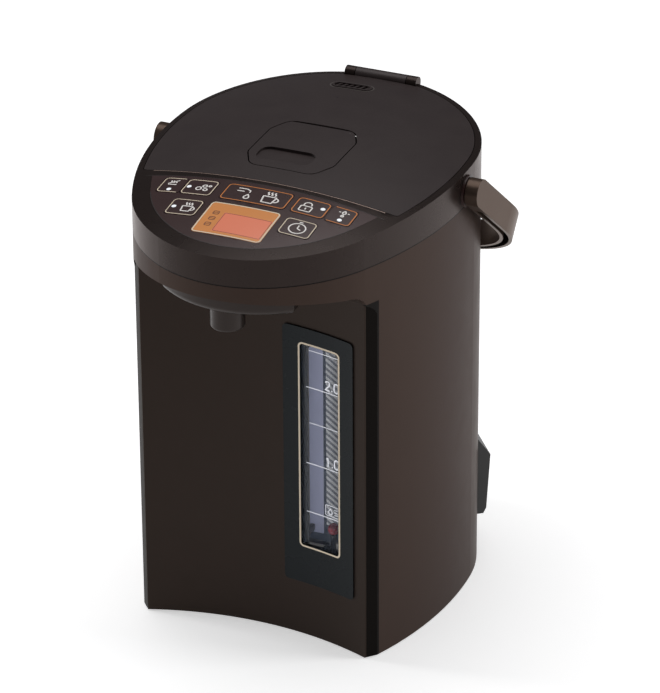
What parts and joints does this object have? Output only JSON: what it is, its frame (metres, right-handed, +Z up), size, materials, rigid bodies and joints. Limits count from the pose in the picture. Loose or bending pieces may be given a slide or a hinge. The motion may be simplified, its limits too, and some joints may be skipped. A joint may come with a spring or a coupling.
{
  "type": "electric thermo pot",
  "caption": "Electric thermo pot with a motor pump, spout, water gauge, key panel, hinged lid with a lift lever and folding carry handle.",
  "frame": {"origin": "centre of the overall box at the level of the feet", "axes": "+Z up, -Y out of the front where the spout and key panel are, +X to the side with the water gauge and power inlet"},
  "size_m": [0.222, 0.2904, 0.3111],
  "materials": {
    "body_brown": "metallic dark brown, satin",
    "dark_trim": "satin dark brown",
    "hub_brown": "satin reddish brown",
    "control_film": "purple-brown film, satin",
    "display": "lit display window, gloss",
    "inner_plastic": "moulded, matte",
    "board": "circuit board, satin",
    "gauge_cover": "blue-black, gloss",
    "clear_plastic": "clear, gloss",
    "scale_cream": "cream, matte",
    "ball_red": "red, gloss",
    "steel": "brushed",
    "insulation": "felted, matte",
    "rubber_soft": "matte",
    "inlet_black": "black, matte",
    "contact_brass": "bare brass, polished"
  },
  "bodies": {
    "casing": {"outer_shell": "body_brown", "front_panel": "dark_trim", "spout_housing": "dark_trim", "spout": "dark_trim", "top_housing": "body_brown", "handle_pivot_left": "hub_brown", "handle_pivot_right": "hub_brown", "control_film": "control_film", "display_lens": "display", "display_module": "inner_plastic", "control_board": "board", "key_switches": "inner_plastic", "gauge_cover": "gauge_cover", "gauge_window": "clear_plastic", "gauge_tube": "clear_plastic", "gauge_fittings": "rubber_soft", "gauge_scale": "scale_cream", "gauge_brackets": "inner_plastic", "inner_container": "steel", "insulation_jacket": "insulation", "heater_plate": "steel", "thermistor": "steel", "pot_support": "inner_plastic", "pump_housing": "inner_plastic", "pump_motor": "steel", "riser_pipe": "rubber_soft", "base_plate": "inner_plastic", "feet": "rubber_soft", "base_screws": "steel", "inlet_housing": "inlet_black", "inlet_contacts": "contact_brass", "hinge_pin": "steel"},
    "lid": {"lid_cover": "body_brown", "lid_liner": "inner_plastic", "lid_gasket": "rubber_soft", "steam_vent": "dark_trim", "lever_pin": "steel", "latch_guide": "inner_plastic", "latch_spring": "steel"},
    "lever": {"lid_lever": "body_brown"},
    "bolt": {"latch_bolt": "inner_plastic"},
    "ball": {"level_ball": "ball_red"},
    "impeller": {"impeller": "inner_plastic"},
    "magnet": {"drive_magnet": "steel"},
    "handle": {"handle": "body_brown"},
    "key_pour_body": {"key_pour": "control_film"},
    "key_lamp_left_body": {"key_lamp_left": "control_film"},
    "key_boil_body": {"key_boil": "control_film"},
    "key_unlock_body": {"key_unlock": "control_film"},
    "key_slow_body": {"key_slow": "control_film"},
    "key_keep_warm_body": {"key_keep_warm": "control_film"},
    "key_timer_body": {"key_timer": "control_film"}
  },
  "joints": [
    {"name": "handle_swing", "type": "hinge", "parent": "casing", "child": "handle", "pos_m": [0, 0.01726, 0.2874], "axis": [1, 0, 0], "range_deg": [0, 150]},
    {"name": "lid_hinge", "type": "hinge", "parent": "casing", "child": "lid", "pos_m": [0, 0.12056, 0.3046], "axis": [-1, 0, 0], "range_deg": [0, 95]},
    {"name": "lever_lift", "type": "hinge", "parent": "lid", "child": "lever", "pos_m": [0, 0.02136, 0.30845], "axis": [-1, 0, 0], "range_deg": [0, 35], "stiffness_Nm_per_rad": 0.3, "springref_deg": -8.59},
    {"name": "bolt_slide", "type": "slide", "parent": "lid", "child": "bolt", "axis": [0, 1, 0], "range_m": [0, 0.003], "deforming": ["latch_spring"]},
    {"name": "ball_float", "type": "slide", "parent": "casing", "child": "ball", "axis": [0, 0, 1], "range_m": [0, 0.15]},
    {"name": "impeller_spin", "type": "hinge", "parent": "casing", "child": "impeller", "pos_m": [-0.034, -0.03274, 0.047], "axis": [0, 0, 1], "continuous": true},
    {"name": "motor_spin", "type": "hinge", "parent": "casing", "child": "magnet", "pos_m": [-0.034, -0.03274, 0.037], "axis": [0, 0, 1], "continuous": true},
    {"name": "key_pour_press", "type": "slide", "parent": "casing", "child": "key_pour_body", "axis": [0, 0, -1], "range_m": [0, 0.0006], "stiffness_N_per_m": 300, "springref_m": -0.0008},
    {"name": "key_lamp_left_press", "type": "slide", "parent": "casing", "child": "key_lamp_left_body", "axis": [0, 0, -1], "range_m": [0, 0.0006], "stiffness_N_per_m": 300, "springref_m": -0.0008},
    {"name": "key_boil_press", "type": "slide", "parent": "casing", "child": "key_boil_body", "axis": [0, 0, -1], "range_m": [0, 0.0006], "stiffness_N_per_m": 300, "springref_m": -0.0008},
    {"name": "key_unlock_press", "type": "slide", "parent": "casing", "child": "key_unlock_body", "axis": [0, 0, -1], "range_m": [0, 0.0006], "stiffness_N_per_m": 300, "springref_m": -0.0008},
    {"name": "key_slow_press", "type": "slide", "parent": "casing", "child": "key_slow_body", "axis": [0, 0, -1], "range_m": [0, 0.0006], "stiffness_N_per_m": 300, "springref_m": -0.0008},
    {"name": "key_keep_warm_press", "type": "slide", "parent": "casing", "child": "key_keep_warm_body", "axis": [0, 0, -1], "range_m": [0, 0.0006], "stiffness_N_per_m": 300, "springref_m": -0.0008},
    {"name": "key_timer_press", "type": "slide", "parent": "casing", "child": "key_timer_body", "axis": [0, 0, -1], "range_m": [0, 0.0006], "stiffness_N_per_m": 300, "springref_m": -0.0008}
  ],
  "couplings": [
    {"joint": "bolt_slide", "follows": "lever_lift", "m_per_rad": 0.0049111},
    {"joint": "motor_spin", "follows": "impeller_spin", "ratio": 1}
  ]
}
